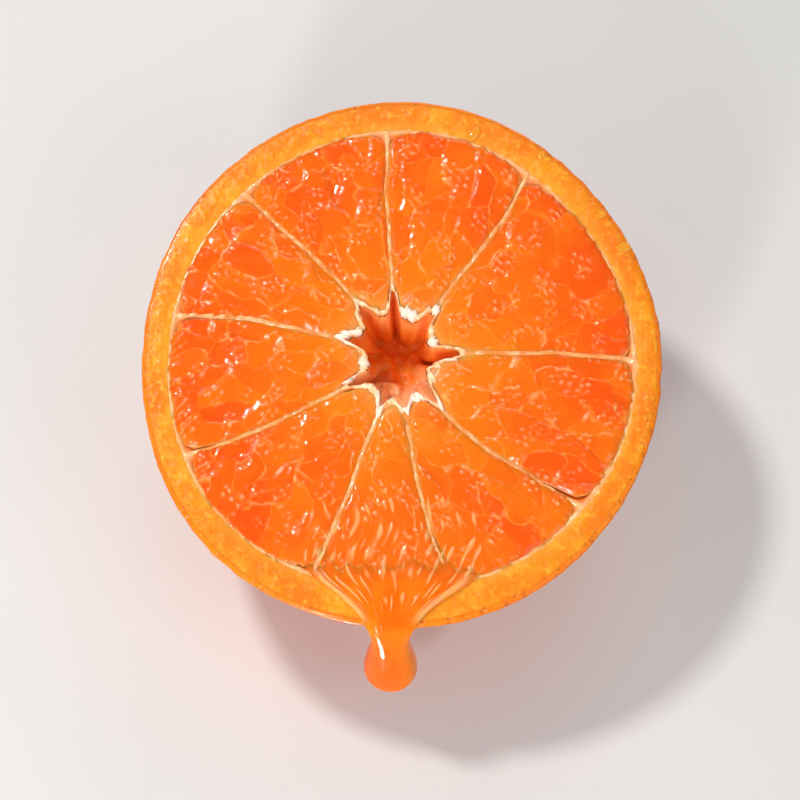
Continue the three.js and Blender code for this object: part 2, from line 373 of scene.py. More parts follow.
# one segment: a grid from wall to wall and from the rind to the core. Each point stands on
# the cut by a low dome, plus its sac's pillow or dish, plus ripples, and rolls down at the
# edges; a skirt and a floor below close the block.
def addSegment(index, material):
    rows, columns = flesh["rows"], flesh["columns"]
    spread = np.linspace(0, 1, columns)
    across = (spread - 0.05 * np.sin(fullTurn * spread))[None, :]
    inward = np.linspace(0, 1, rows)
    inward = (inward - 0.03 * np.sin(fullTurn * inward))[:, None]
    left, right = wallAngle(index, inward), wallAngle(index + 1, inward)
    outer = fleshEdge(lerp(left[:1], right[:1], across), across)
    inner = starRadius(index, across) + flesh["coreGap"]
    radius = lerp(outer, inner, inward)
    uneven = 1 + 0.35 * np.sin(9 * inward + index) + 0.3 * np.sin(31 * inward + 2 * index)
    gap = flesh["wallGap"] * uneven / radius
    angle = lerp(left + gap, right - gap, across)
    width = (right - left) * radius
    edge = np.minimum(across, 1 - across) * width
    toRind = inward * (outer - inner)
    toCore = (1 - inward) * (outer - inner)
    edge = -np.log(np.exp(-edge * 3) + np.exp(-toRind * 3) + np.exp(-toCore * 3)) / 3
    edge = np.maximum(edge, 0)

    x, y = radius * np.cos(angle), radius * np.sin(angle)
    mid = (left[0, 0] + right[0, 0]) / 2
    flat = np.stack([x, y], axis=-1)
    along = x * np.cos(mid) + y * np.sin(mid) + 0.75 * ripple(flat, 5.5, 11 + index)
    sideways = y * np.cos(mid) - x * np.sin(mid) + 0.5 * ripple(flat, 4.5, 31 + index)
    along = along + 0.08 * ripple(flat, 1.3, 51 + index)
    sideways = sideways + 0.08 * ripple(flat, 1.3, 71 + index)
    sac = sacPattern(along, sideways, 100 + index)

    rng = np.random.default_rng(200 + index)

    def perSac(draw, a, b):
        return draw(a, b, sac["count"])[sac["cell"]]

    kind = perSac(rng.uniform, 0, 1)
    lift = perSac(rng.uniform, -1, 1)
    slopeAlong = perSac(rng.normal, 0, 0.035)
    slopeSide = perSac(rng.normal, 0, 0.06)
    border = sac["border"]
    pillow = 1 - (1 - np.clip(border / flesh["pillowWidth"], 0, 1)) ** 2
    slack = np.where(kind < flesh["slackUpTo"], -0.25, -0.75)
    swell = np.where(kind < flesh["plumpUpTo"], 1.0, slack)
    ridge = np.exp(-((border / flesh["borderWidth"]) ** 2))
    tilt = slopeAlong * sac["fromAlong"] + slopeSide * sac["fromSide"]
    # most of the flesh is smooth; the torn and pebbled places come in patches
    broken = smoothStep(0.0, 0.5, ripple(flat, 4.2, 131 + index))
    pebbles = np.maximum(ripple(flat, 0.8, 91 + index, 26), 0) ** 1.5
    folds = 1 - np.abs(ripple(np.stack([along / 2.2, sideways], -1), 1.3, 151 + index))
    fine = 0.012 * ripple(flat, 0.9, 111 + index, 26)
    shreds = ridge * (kind > 0.55) * smoothStep(0.0, 0.6, ripple(flat, 2.2, 171 + index))
    calm = smoothStep(0, 0.7, edge)
    relief = flesh["sacHeight"] * swell * pillow + flesh["liftHeight"] * lift * pillow
    relief = relief + tilt * pillow
    rough = flesh["pebbleHeight"] * pebbles + flesh["foldHeight"] * folds * pillow
    relief = relief + flesh["shredHeight"] * shreds + fine + broken * rough
    # behind the juice's film the flesh is washed smooth and carries the flow's streaks
    out, sidelong = juicePlace(x, y)
    flow, side = flowStreaks(out, sidelong)
    washed = smoothStep(-17, -11.5, out) * smoothStep(1.35, 0.85, np.abs(side))
    flow = flow * washed
    relief = relief * (1 - 0.6 * washed) + flesh["streakHeight"] * flow
    dome = flesh["dome"] * (1 - np.exp(-edge / flesh["domeWidth"]))
    roll = flesh["edgeDrop"] * np.exp(-((edge / flesh["edgeWidth"]) ** 1.3))
    proud = dome - roll + relief * calm

    top = facePoint(angle, radius, proud)
    grid = np.arange(rows * columns).reshape(rows, columns)
    loop = np.concatenate([grid[0], grid[1:, -1], grid[-1, -2::-1], grid[-2:0:-1, 0]])
    flatTop = top.reshape(-1, 3)
    skirt = flatTop[loop] - [0, 0, flesh["depth"]]
    hub = skirt.mean(axis=0)
    points = np.concatenate([flatTop, skirt, hub[None]])
    below = rows * columns + np.arange(len(loop))
    after = np.roll(np.arange(len(loop)), -1)
    sides = np.stack([loop, loop[after], below[after], below], axis=-1)
    floor = np.stack([below, below[after], np.full(len(loop), len(points) - 1)], axis=-1)

    onTop = {
        "sacBorder": border,
        "sacTone": perSac(rng.uniform, 0, 1),
        "shreds": shreds,
        "pebbled": broken * pebbles,
        "flow": flow,
        "outward": (radius - 5) / 22,
        "washed": washed,
        "edgeNear": edge,
        "coreNear": np.exp(-toCore / 0.9),
    }
    fill = np.zeros(len(loop) + 1)
    numbers = {key: np.concatenate([values.ravel(), fill]) for key, values in onTop.items()}
    faces = [gridQuads(rows, columns)[:, ::-1], sides[:, ::-1], floor[:, ::-1]]
    return addPiece(f"segment_{index + 1}", points, faces, numbers, material)


# wet flesh: redder outwards and from sac to sac, with pale borders, threads and edges, and a
# painted highlight along the flow's streaks
def fleshMaterial():
    s = Surface("wetFlesh")
    outward = s.number("outward")
    tone = s.number("sacTone")
    border = s.number("sacBorder")
    patch = s.noise(5, 2)
    warm = s.mix(s.ramp(outward, 0.0, 0.9), (1.0, 0.235, 0.003), (0.93, 0.115, 0.002))
    warm = s.mix(s.ramp(patch, 0.4, 0.7, 0, 0.6), warm, (1.0, 0.2, 0.002))
    red = s.mix(s.ramp(tone, 0.6, 1, 0, 0.32), warm, (0.9, 0.08, 0.003))
    sacColour = s.mix(s.ramp(tone, 0.4, 0, 0, 0.32), red, (1.0, 0.27, 0.004))
    threads = s.noise(0.6, 4, 0.6, distortion=1.2)
    sacColour = s.mix(s.ramp(threads, 0.58, 0.76, 0, 0.2), sacColour, (1.0, 0.36, 0.05))
    lines = s.ramp(border, 0.11, 0.02, 0, 0.5)
    faded = s.times(lines, s.ramp(s.noise(2.2, 2), 0.35, 0.62, 0.2, 1))
    colour = s.mix(faded, sacColour, (1.0, 0.34, 0.04))
    colour = s.mix(s.times(s.number("washed"), 0.75), colour, (0.98, 0.18, 0.004))
    colour = s.mix(s.times(s.number("coreNear"), 0.7), colour, (1.0, 0.46, 0.13))
    colour = s.mix(s.times(s.number("shreds"), 0.5), colour, paleThreadAndStreakHighlight)
    colour = s.mix(s.times(s.number("pebbled"), 0.35), colour, (1.0, 0.45, 0.2))
    # painted highlight: the flow's streaks are coloured pale as if they caught the light
    colour = s.mix(s.ramp(s.number("flow"), 0.25, 1.2, 0, 0.75), colour, paleThreadAndStreakHighlight)
    colour = s.mix(s.ramp(s.number("edgeNear"), 0.3, 0.0, 0, 0.5), colour, (1.0, 0.42, 0.1))
    normal = s.bump(s.noise(0.5, 2, 0.5, distortion=0.3), 0.012)
    normal = s.bump(s.noise(1.6, 2, 0.5), 0.03, normal)
    return s.finish(
        colour,
        s.ramp(s.noise(1.6, 3), 0.35, 0.7, 0.12, 0.3),
        normal,
        Subsurface_Weight=1.0,
        Subsurface_Radius=(1.0, 0.35, 0.08),
        Subsurface_Scale=1.0 * mm,
        IOR=1.37,
        Specular_IOR_Level=0.2,
        Coat_Weight=0.6,
        Coat_Roughness=0.035,
        Coat_IOR=1.34,
    )


# the walls between the segments, with the pale lining under the rind
septa = {
    "columns": 46,  # for each segment
    "rows": 96,
    "floor": -0.7,
    "wallTop": 0.0,
    "wallWidth": 0.42,
    "rindReach": 0.45,  # how far the sheet goes in under the rind
    "coreReach": 0.15,
    "webWidth": 1.1,
    "webLength": 1.8,
    "liningWidth": 1.0,
    "lipWidth": 1.1,  # the raised zone under the core's lip
    "tuck": 0.45,
}


# the walls: one round grid under all segments, low in the middle of each and raised in a
# narrow ridge along each wall, with a wider raised web where the wall meets the rind
def addSepta(material):
    rows = septa["rows"]
    inward = np.linspace(0, 1, rows)[:, None]
    spread = np.linspace(0, 1, septa["columns"], endpoint=False)
    across = (spread - 0.145 * np.sin(fullTurn * spread))[None, :]
    strips, marks, webs = [], [], []
    for index in range(wallCount):
        left, right = wallAngle(index, inward), wallAngle(index + 1, inward)
        angle = lerp(left, right, across)
        outer = rimRadius(angle[:1]) - rindThickness(angle[:1]) + septa["rindReach"]
        inner = starRadius(index, across) + septa["coreReach"]
        radius = lerp(outer, inner, inward)
        near = np.minimum(across, 1 - across) * (right - left) * radius
        toRind = inward * (outer - inner)
        toCore = (1 - inward) * (outer - inner)
        ridge = np.exp(-((near / septa["wallWidth"]) ** 4))
        web = np.exp(-((near / septa["webWidth"]) ** 2))
        web = web * np.exp(-((toRind / septa["webLength"]) ** 2))
        lining = np.exp(-((toRind / septa["liningWidth"]) ** 4))
        underLip = np.exp(-((toCore / septa["lipWidth"]) ** 4))
        raised = np.maximum(np.maximum(ridge, web), np.maximum(lining, underLip))
        flat = polar(angle, radius)
        ragged = 0.08 * ripple(flat, 1.3, 301) + 0.05 * ripple(flat, 0.5, 302)
        ragged = ragged + 0.05 * ripple(flat, 4.5, 303)
        proud = lerp(septa["floor"], septa["wallTop"], raised) + ragged * raised
        # the outer edge tucks in under the cut rind
        proud = proud - septa["tuck"] * smoothStep(0.4, 0.0, toRind)
        strips.append(facePoint(angle, radius, proud))
        marks.append(raised)
        webs.append(np.maximum(web, lining))
    points = np.concatenate(strips, axis=1)
    numbers = {"wallNear": np.concatenate(marks, 1), "webNear": np.concatenate(webs, 1)}
    quads = gridQuads(rows, points.shape[1], closed=True)[:, ::-1]
    return addPiece("segment_walls", points, [quads], numbers, material)


# thin pith: patchy cream on the ridges, deep orange between them
def septaMaterial():
    s = Surface("segmentWalls")
    pale = s.mix(s.ramp(s.noise(1.3, 3), 0.35, 0.7), (1.0, 0.27, 0.035), (1.0, 0.5, 0.2))
    # the lining comes and goes along the rind
    lining = s.times(s.number("webNear"), s.ramp(s.noise(3.2, 3, 0.6), 0.35, 0.62, 0.1, 0.7))
    pale = s.mix(lining, pale, paleLiningAndRidgeHighlight)
    colour = s.mix(s.ramp(s.number("wallNear"), 0.3, 0.9), (0.95, 0.22, 0.02), pale)
    normal = s.bump(s.noise(0.4, 3), 0.03)
    return s.finish(colour, 0.35, normal, Coat_Weight=0.5, Coat_Roughness=0.1)


# the hollow core, with its ragged pale lip
core = {
    "columns": 900,
    "lipRows": 14,
    "lipRise": 0.52,
    "curlRise": 0.2,
    "wallRows": 56,
    "wallShare": 0.68,  # of the rows that go down; the rest close the bed
    "bedShare": 0.32,
    "narrowing": 0.34,
    "petal": 0.45,
    "fold": 0.16,
    "depth": 7.0,
    "lean": 2.8,
}


# the core: two round grids whose rows follow the star's edge, one over the torn lip and one
# down the hollow
def addCore(lipMaterial, wallMaterial):
    perWall = core["columns"] // wallCount
    spread = np.linspace(0, 1, perWall, endpoint=False)
    bays = []
    for index in range(wallCount):
        angle = lerp(wallAngle(index, 1.0), wallAngle(index + 1, 1.0), spread)
        bays.append([angle, starRadius(index, spread), 1 - np.abs(2 * spread - 1)])
    angle, star, middle = np.concatenate(bays, axis=1)[:, None, :]
    ring = polar(angle, star)
    torn = 0.2 * ripple(ring, 1.7, 401) + 0.12 * ripple(ring, 0.7, 402)
    torn = torn + 0.05 * ripple(ring, 0.35, 405)
    curl = smoothStep(0.15, 0.7, ripple(ring, 3.2, 403))
    thick = 0.85 + 0.35 * ripple(ring, 1.8, 404) + 0.14 * ripple(ring, 0.6, 406)
    crinkle = 0.12 * ripple(ring, 1.1, 407) + 0.07 * ripple(ring, 0.45, 408)

    # the lip in cross-section: from under the flesh's edge up, over and down into the hollow
    turn = np.linspace(0, 1, core["lipRows"])[:, None]
    bend = np.pi * turn
    over = thick * 0.5 * (1 + np.cos(bend)) * (1 + 0.4 * curl)
    out = star + torn * (0.4 + 0.6 * turn) + 0.12 + over
    height = core["lipRise"] + core["curlRise"] * curl + crinkle
    rise = -0.35 + height * np.sin(bend) ** 0.7 + 0.12 * (1 - turn)
    lip = facePoint(angle + 0 * turn, out, rise)
    lipNumbers = {"lipTop": np.sin(bend) + 0 * angle, "lipCurl": curl + 0 * turn}
    quads = gridQuads(core["lipRows"], core["columns"], closed=True)[:, ::-1]
    lipPiece = addPiece("core_lip", lip, [quads], lipNumbers, lipMaterial)

    # the hollow: the star goes down and narrows, its lobes bulge like petals, and the last
    # third of the rows closes over an uneven floor
    down = np.linspace(0, 1, core["wallRows"])[:, None]
    sinking = np.minimum(down / core["wallShare"], 1)
    closing = np.clip((down - core["wallShare"]) / core["bedShare"], 0, 1)
    rounder = lerp(star + torn * (1 - sinking) ** 3, 0.75 * star + 0.9, smoothStep(0, 0.8, sinking))
    petal = core["petal"] * np.sin(np.pi * sinking) * middle * (1 - closing)
    fold = core["fold"] * np.sin(np.pi * middle) * np.sin(9 * down + 5 * angle)
    radius = rounder * (1 - core["narrowing"] * sinking**1.6) + petal + fold * sinking
    radius = radius * (1 - 0.97 * closing)
    x, y = radius * np.cos(angle), radius * np.sin(angle) + core["lean"] * sinking**1.6
    start = cutZ(star * np.sin(angle)) - 0.3
    floorPlace = np.stack([x, y], axis=-1)
    bumps = 0.5 * ripple(floorPlace, 4.0, 411) + 0.25 * ripple(floorPlace, 1.8, 412)
    bed = cutHeight - core["depth"] + bumps - 0.5 * closing
    z = lerp(start, bed, 1 - (1 - sinking) ** 1.15)
    wall = np.stack([x, y, z], axis=-1)
    points = np.concatenate([wall.reshape(-1, 3), wall[-1].mean(axis=0)[None]])
    last = (core["wallRows"] - 1) * core["columns"]
    pit = poleFan(len(points) - 1, last, core["columns"])
    quads = gridQuads(core["wallRows"], core["columns"], closed=True)[:, ::-1]
    # the front share marks where painted light makes the hollow's petals paler
    numbers = {
        "deep": np.append((down + 0 * angle).ravel(), 1),
        "paintedLitFront": np.append((smoothStep(-0.1, 0.8, -np.sin(angle)) + 0 * down).ravel(), 0),
    }
    faces = [quads, pit[:, ::-1]]
    wallPiece = addPiece("core_hollow", points, faces, numbers, wallMaterial)
    return lipPiece, wallPiece


# torn pith: cream on top of the lip, nearly white where it curls
def lipMaterial():
    s = Surface("coreLip")
    torn = s.noise(0.7, 4, 0.6)
    cream = s.mix(s.ramp(torn, 0.35, 0.65), (1.0, 0.52, 0.2), (1.0, 0.76, 0.48))
    colour = s.mix(s.ramp(s.number("lipTop"), 0.1, 0.8), (1.0, 0.38, 0.08), cream)
    colour = s.mix(s.times(s.number("lipCurl"), 0.7), colour, (1.0, 0.91, 0.8))
    normal = s.bump(s.noise(0.28, 4, 0.6), 0.07)
    return s.finish(colour, 0.4, normal, Coat_Weight=0.4, Coat_Roughness=0.12)


# the hollow's skin: paler at the top, deep orange on the bed, and painted light on the front
# petals, which are paler as if lit from above
def hollowMaterial():
    s = Surface("coreHollow")
    deep = s.number("deep")
    tone = s.mix(s.ramp(s.noise(2.5, 3), 0.3, 0.7), (1.0, 0.28, 0.045), (1.0, 0.4, 0.12))
    colour = s.mix(s.ramp(deep, 0.04, 0.4), tone, (1.0, 0.26, 0.02))
    bed = s.mix(s.ramp(s.noise(1.8, 2), 0.35, 0.7), (1.0, 0.21, 0.008), (1.0, 0.32, 0.025))
    colour = s.mix(s.ramp(deep, 0.35, 0.75), colour, bed)
    # painted light: the petals at the front are paler on their way down, as if lit from above
    litPetals = s.times(s.number("paintedLitFront"), s.ramp(deep, 0.85, 0.45, 0, 0.95))
    colour = s.mix(litPetals, colour, (1.0, 0.58, 0.3))
    fibres = s.noise(0.6, 4, 0.6, distortion=1.5)
    colour = s.mix(s.ramp(fibres, 0.55, 0.75, 0, 0.25), colour, (1.0, 0.5, 0.24))
    normal = s.bump(s.noise(0.9, 3), 0.05)
    return s.finish(colour, 0.45, normal, Coat_Weight=0.3, Coat_Roughness=0.15)


# the rind: the cut band and the outer skin
rind = {"columns": 960, "bandRows": 26, "edgeRound": 0.55, "crown": 0.12, "seam": 0.14}
skin = {
    "columns": 560,
    "spotRows": 12,
    "rows": 128,
    "edgeRows": 7,
    "scarRadius": 1.7,
    "scarDepth": 0.35,
}


# small waves of the rim's outline, where the knife cut through oil glands
def rimWaver(angle):
    ring = polar(angle, 30)
    return 0.05 * ripple(ring, 2.6, 501) + 0.02 * ripple(ring, 0.9, 502) - 0.08


# the cut band: from the rounded outer edge in over a low crown to a seam beside the flesh
def addCutBand(material):
    angle = np.linspace(0, fullTurn, rind["columns"], endpoint=False)[None, :]
    across = np.linspace(0, 1, rind["bandRows"])[:, None]
    rim = rimRadius(angle) + rimWaver(angle)
    width = rindThickness(angle) + 0.1 - rind["edgeRound"]
    radius = rim - rind["edgeRound"] + 0.12 - across * width
    crown = rind["crown"] * np.sin(np.pi * np.clip(across * 1.15, 0, 1)) ** 0.8
    sag = rind["seam"] * smoothStep(0.88, 1.0, across) + 0.05
    face = polar(angle, radius)
    lumps = 0.045 * ripple(face, 2.0, 511) + 0.03 * ripple(face, 0.9, 512)
    points = facePoint(angle + 0 * across, radius, crown - sag + lumps * np.sin(np.pi * across))
    numbers = {"acrossRind": across + 0 * angle}
    quads = gridQuads(rind["bandRows"], rind["columns"], closed=True)[:, ::-1]
    return addPiece("rind_cut", points, [quads], numbers, material)


# the outer skin: rows of latitude from the flat spot up to the cut, then a quarter round
# over the edge. Broad shallow lumps move it in, never out, and a small scar dents the spot.
def addSkin(material):
    angle = np.linspace(0, fullTurn, skin["columns"], endpoint=False)[None, :]
    flatEdge = -np.arcsin((cutHeight / fruit["halfHeight"]) ** (1 / fruit["squareness"]))
    flatRadius = skinPoint(angle, flatEdge)[0]
    spotShare = np.linspace(0.04, 1, skin["spotRows"], endpoint=False)[:, None]
    spotRadius = flatRadius * spotShare
    dent = skin["scarDepth"] * np.exp(-((spotRadius / skin["scarRadius"]) ** 2))
    spot = polar(angle, spotRadius, dent)

    share = np.linspace(0, 1, skin["rows"])[:, None]
    top = cutLatitude(angle)
    drop = rind["edgeRound"] / fruit["halfHeight"]
    latitude = lerp(flatEdge, top - drop, share)
    place = polar(angle, *skinPoint(angle, latitude))
    lumps = 0.09 * ripple(place, 9, 521) + 0.05 * ripple(place, 3.2, 522) - 0.16
    lumps = lumps * smoothStep(0, 0.08, share) + rimWaver(angle) * smoothStep(0.9, 1, share)
    lumps = np.minimum(lumps, 0)
    place[..., 0] += lumps * np.cos(angle)
    place[..., 1] += lumps * np.sin(angle)

    bend = np.linspace(0, np.pi / 2, skin["edgeRows"])[1:, None]
    rim = rimRadius(angle) + rimWaver(angle)
    edge = rind["edgeRound"]
    edgeRadius = rim - edge * (1 - np.cos(bend))
    edgeRise = -edge * (1 - np.sin(bend)) - 0.01 * np.sin(bend)
    roundEdge = facePoint(angle + 0 * bend, edgeRadius, edgeRise)

    pole = np.array([[0, 0, skin["scarDepth"]]])
    rows = np.concatenate([spot, place, roundEdge], axis=0)
    points = np.concatenate([rows.reshape(-1, 3), pole])
    fan = poleFan(len(points) - 1, 0, skin["columns"], flip=True)
    quads = gridQuads(len(rows), skin["columns"], closed=True)
    fromSpot = np.hypot(points[:, 0], points[:, 1])
    fromRim = points[:, 2] - cutZ(points[:, 1])
    numbers = {"fromSpot": np.where(points[:, 2] < 9, fromSpot, 30), "fromRim": fromRim}
    return addPiece("outer_skin", points, [quads, fan], numbers, material)


# cut rind: mottled orange with opened glands outside, patchy pith beside the flesh
def cutBandMaterial():
    s = Surface("cutRind")
    across = s.number("acrossRind")
    mottle = s.noise(2.6, 3)
    body = s.mix(s.ramp(mottle, 0.35, 0.68), (0.93, 0.25, 0.004), (1.0, 0.37, 0.012))
    body = s.mix(s.ramp(s.noise(7, 2), 0.4, 0.7, 0, 0.7), body, (0.88, 0.19, 0.004))
    body = s.mix(s.ramp(s.noise(0.9, 3, 0.6), 0.52, 0.7, 0, 0.6), body, (1.0, 0.52, 0.05))
    stains = s.noise(1.2, 3, 0.6, distortion=0.8)
    body = s.mix(s.ramp(stains, 0.46, 0.3, 0, 0.5), body, (0.86, 0.17, 0.003))
    body = s.mix(s.ramp(across, 0.45, 0.9, 0, 0.4), body, (1.0, 0.43, 0.04))
    # oil glands that the knife opened: small rings, mostly in the outer half
    gland = s.cells(1.05, randomness=0.9)
    wall = s.times(s.ramp(gland, 0.2, 0.3), s.ramp(gland, 0.42, 0.32))
    outerHalf = s.ramp(across, 0.68, 0.38)
    glandRing = s.times(wall, s.times(outerHalf, 0.14))
    body = s.mix(glandRing, body, (1.0, 0.5, 0.08))
    pool = s.times(s.ramp(gland, 0.3, 0.1), outerHalf)
    body = s.mix(s.times(pool, 0.5), body, (0.85, 0.19, 0.003))
    body = s.mix(s.ramp(across, 0.1, 0.0), body, (0.86, 0.17, 0.004))
    ragged = s.math("ADD", across, s.ramp(s.noise(0.9, 3), 0.2, 0.8, -0.09, 0.07))
    patches = (s.noise(3.6, 3, 0.6), 0.36, 0.62, 0.15, 0.85)
    pith = s.times(s.ramp(ragged, 0.88, 0.98), s.ramp(*patches))
    colour = s.mix(pith, body, (1.0, 0.54, 0.22))
    normal = s.bump(s.times(pool, -1), 0.05)
    normal = s.bump(s.noise(0.9, 4, 0.6), 0.13, normal)
    return s.finish(
        colour,
        s.ramp(s.noise(0.8, 3), 0.35, 0.7, 0.3, 0.5),
        normal,
        Subsurface_Weight=0.6,
        Subsurface_Radius=(1.0, 0.45, 0.1),
        Subsurface_Scale=0.9 * mm,
        Specular_IOR_Level=0.25,
        Coat_Weight=0.3,
        Coat_Roughness=0.15,
        Coat_IOR=1.36,
    )


# the skin: blotched orange with dark gland pits, lighter at the rim, brown at the scar
def skinMaterial():
    s = Surface("outerSkin")
    broad = s.noise(14, 3)
    colour = s.mix(s.ramp(broad, 0.35, 0.68), (0.84, 0.1, 0.001), (0.95, 0.2, 0.002))
    colour = s.mix(s.ramp(s.noise(4, 4), 0.5, 0.75, 0, 0.45), colour, (0.98, 0.28, 0.005))
    # oil glands: darker pits of two sizes in the skin, more of them in some places
    pit = s.ramp(s.cells(1.05, randomness=0.9), 0.5, 0.1)
    thick = s.ramp(s.noise(6, 2), 0.35, 0.65, 0.3, 0.62)
    colour = s.mix(s.times(pit, thick), colour, (0.62, 0.045, 0.001))
    small = s.ramp(s.cells(0.65, randomness=1.0), 0.42, 0.1)
    colour = s.mix(s.times(small, 0.35), colour, (0.7, 0.07, 0.001))
    colour = s.mix(s.ramp(s.number("fromRim"), -0.9, 0.0, 0, 0.6), colour, (0.93, 0.27, 0.008))
    scar = s.math("ADD", s.number("fromSpot"), s.times(s.noise(0.9, 4), 1.6))
    colour = s.mix(s.ramp(scar, 4.2, 1.9, 0, 0.75), colour, (0.4, 0.16, 0.02))
    colour = s.mix(s.ramp(scar, 2.4, 1.7), colour, (0.12, 0.045, 0.012))
    height = s.math("ADD", s.times(pit, -1), s.times(small, -0.4))
    normal = s.bump(height, 0.16)
    normal = s.bump(s.noise(2.6, 3), 0.32, normal)
    return s.finish(
        colour,
        s.ramp(s.noise(1.3, 3), 0.35, 0.7, 0.2, 0.34),
        normal,
        Subsurface_Weight=0.2,
        Subsurface_Radius=(1.0, 0.35, 0.06),
        Subsurface_Scale=0.8 * mm,
        Specular_IOR_Level=0.2,
        Coat_Weight=0.3,
        Coat_Roughness=0.08,
        Coat_IOR=1.38,
    )


# the juice: a film that runs together at the front rim, and the drop that hangs there
juice = {
    "angle": np.radians(-92),
    "rows": 220,
    "around": 230,
    "upperShare": 0.7,  # of the ring's points that lie on its upper side
    "lowerShare": 0.3,
    "streakHeight": 0.12,
    "ridgeHeight": 0.2,
    "sinkDepth": 0.75,
    "filmEnd": (-12.4, 2.3),
    "dropEnd": (0.4, -14.0),
    "stations": [
        # out from the rim, up from it, half width, thickness above, thickness below
        (-12.2, 2.3, 9.4, 0.05, 0.2),
        (-10.8, 2.2, 9.9, 0.3, 0.3),
        (-8.8, 1.87, 10.3, 0.5, 0.35),
        (-6.8, 1.45, 10.0, 0.6, 0.35),
        (-5.0, 1.06, 8.5, 0.62, 0.35),
        (-3.4, 0.72, 6.2, 0.64, 0.35),
        (-2.0, 0.41, 4.4, 0.68, 0.35),
        (-0.95, 0.1, 3.4, 0.75, 0.4),
        (-0.3, -0.45, 2.85, 0.95, 0.5),
        (0.0, -1.3, 2.45, 1.3, 0.8),
        (0.1, -2.4, 2.25, 1.65, 1.3),
        (0.2, -3.8, 2.25, 1.95, 1.7),
        (0.28, -5.5, 2.45, 2.2, 2.1),
        (0.34, -7.4, 2.75, 2.55, 2.5),
        (0.38, -9.3, 3.02, 2.88, 2.85),
        (0.38, -11.0, 3.1, 3.03, 3.03),
        (0.4, -12.3, 2.65, 2.62, 2.62),
        (0.4, -13.2, 1.85, 1.85, 1.85),
        (0.4, -13.75, 0.95, 0.95, 0.95),
    ],
}


# stations resampled by a Catmull-Rom curve through them, so that the profile runs smoothly
def smoothStations(stations, steps):
    table = np.array(stations, dtype=float)
    table = np.concatenate([2 * table[:1] - table[1:2], table, 2 * table[-1:] - table[-2:-1]])
    t = np.linspace(0, len(stations) - 1, steps)
    i = np.minimum(t.astype(int), len(stations) - 2)
    t = (t - i)[:, None]
    a, b, c, d = (table[i + k] for k in range(4))
    curve = 2 * b + (c - a) * t + (2 * a - 5 * b + 4 * c - d) * t**2
    return 0.5 * (curve + (3 * b - a - 3 * c + d) * t**3)


# rings joined by quads, with a point at each end that closes them
def closedLoft(rings, firstPoint, lastPoint, start=0):
    count = rings.shape[1]
    points = np.concatenate([rings.reshape(-1, 3), [firstPoint, lastPoint]])
    first, last = len(points) - 2, len(points) - 1
    faces = [
        gridQuads(len(rings), count, closed=True, start=start),
        poleFan(first, 0, count, flip=True) + start,
        poleFan(last, (len(rings) - 1) * count, count) + start,
    ]
    return points, faces


# places by the juice: out from the rim, sideways, and up from the cut's height there
def juicePoint(out, sideways, up):
    angle = juice["angle"]
    radius = rimRadius(angle) + out
    x = radius * np.cos(angle) - sideways * np.sin(angle)
    y = radius * np.sin(angle) + sideways * np.cos(angle)
    return np.stack([x, y, cutZ(rimRadius(angle) * np.sin(angle)) + up + 0 * x], axis=-1)


# the way back: how far a place is out from the rim by the juice, and how far sideways
def juicePlace(x, y):
    angle = juice["angle"]
    out = x * np.cos(angle) + y * np.sin(angle) - rimRadius(angle)
    return out, y * np.cos(angle) - x * np.sin(angle)


# the flow's streaks: short ridges whose lanes spread as the film does, where long noise
# rises over a threshold. The film and the flesh behind it share them.
def flowStreaks(out, sideways):
    table = np.array(juice["stations"])
    side = sideways / np.interp(out, table[:, 0], table[:, 2])
    lane = np.stack([side * 9 + 0.4 * np.sin(out * 0.7), out * 0.3 + 0 * side], axis=-1)
    fine = np.maximum(ripple(lane, 0.85, 601, 30) - 0.2, 0)
    broad = np.maximum(ripple(lane, 1.9, 602, 30) - 0.1, 0)
    return 1.3 * fine + 0.6 * broad, side


